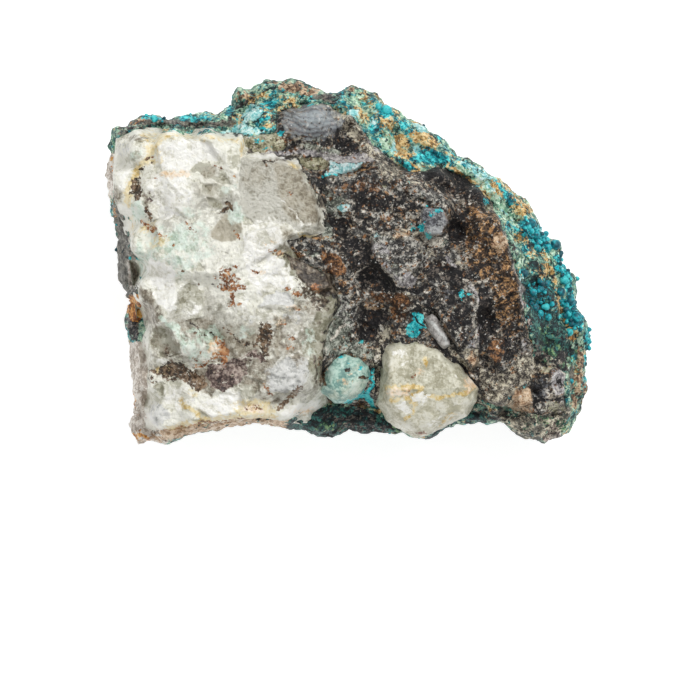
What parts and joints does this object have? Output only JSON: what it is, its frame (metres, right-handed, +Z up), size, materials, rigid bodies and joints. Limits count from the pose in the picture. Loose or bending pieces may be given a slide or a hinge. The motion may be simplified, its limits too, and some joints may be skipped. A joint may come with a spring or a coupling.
{
  "type": "chrysocolla quartz specimen",
  "caption": "Broken lump of milky quartz and dark matrix with a knobbly blue-green chrysocolla crust, lying fracture face up on a flat resting face.",
  "frame": {"origin": "centre of the bounding box seen from above, on the plane of the resting face", "axes": "+X along the length of the stone, from the quartz end to the crust end; +Y across it, towards the edge with the upper crust; +Z up, out of the fracture face"},
  "size_m": [0.0655, 0.0492, 0.0263],
  "materials": {
    "stone": "milky quartz with grey translucent faces, black-brown matrix and a blue-green chrysocolla crust with ochre patches",
    "milky_quartz": "broken milky quartz, slightly see-through at its edges, semi-gloss",
    "chrysocolla": "blue-green chrysocolla, waxy"
  },
  "bodies": {
    "root": {"chrysocolla_quartz": "stone"}
  },
  "joints": []
}
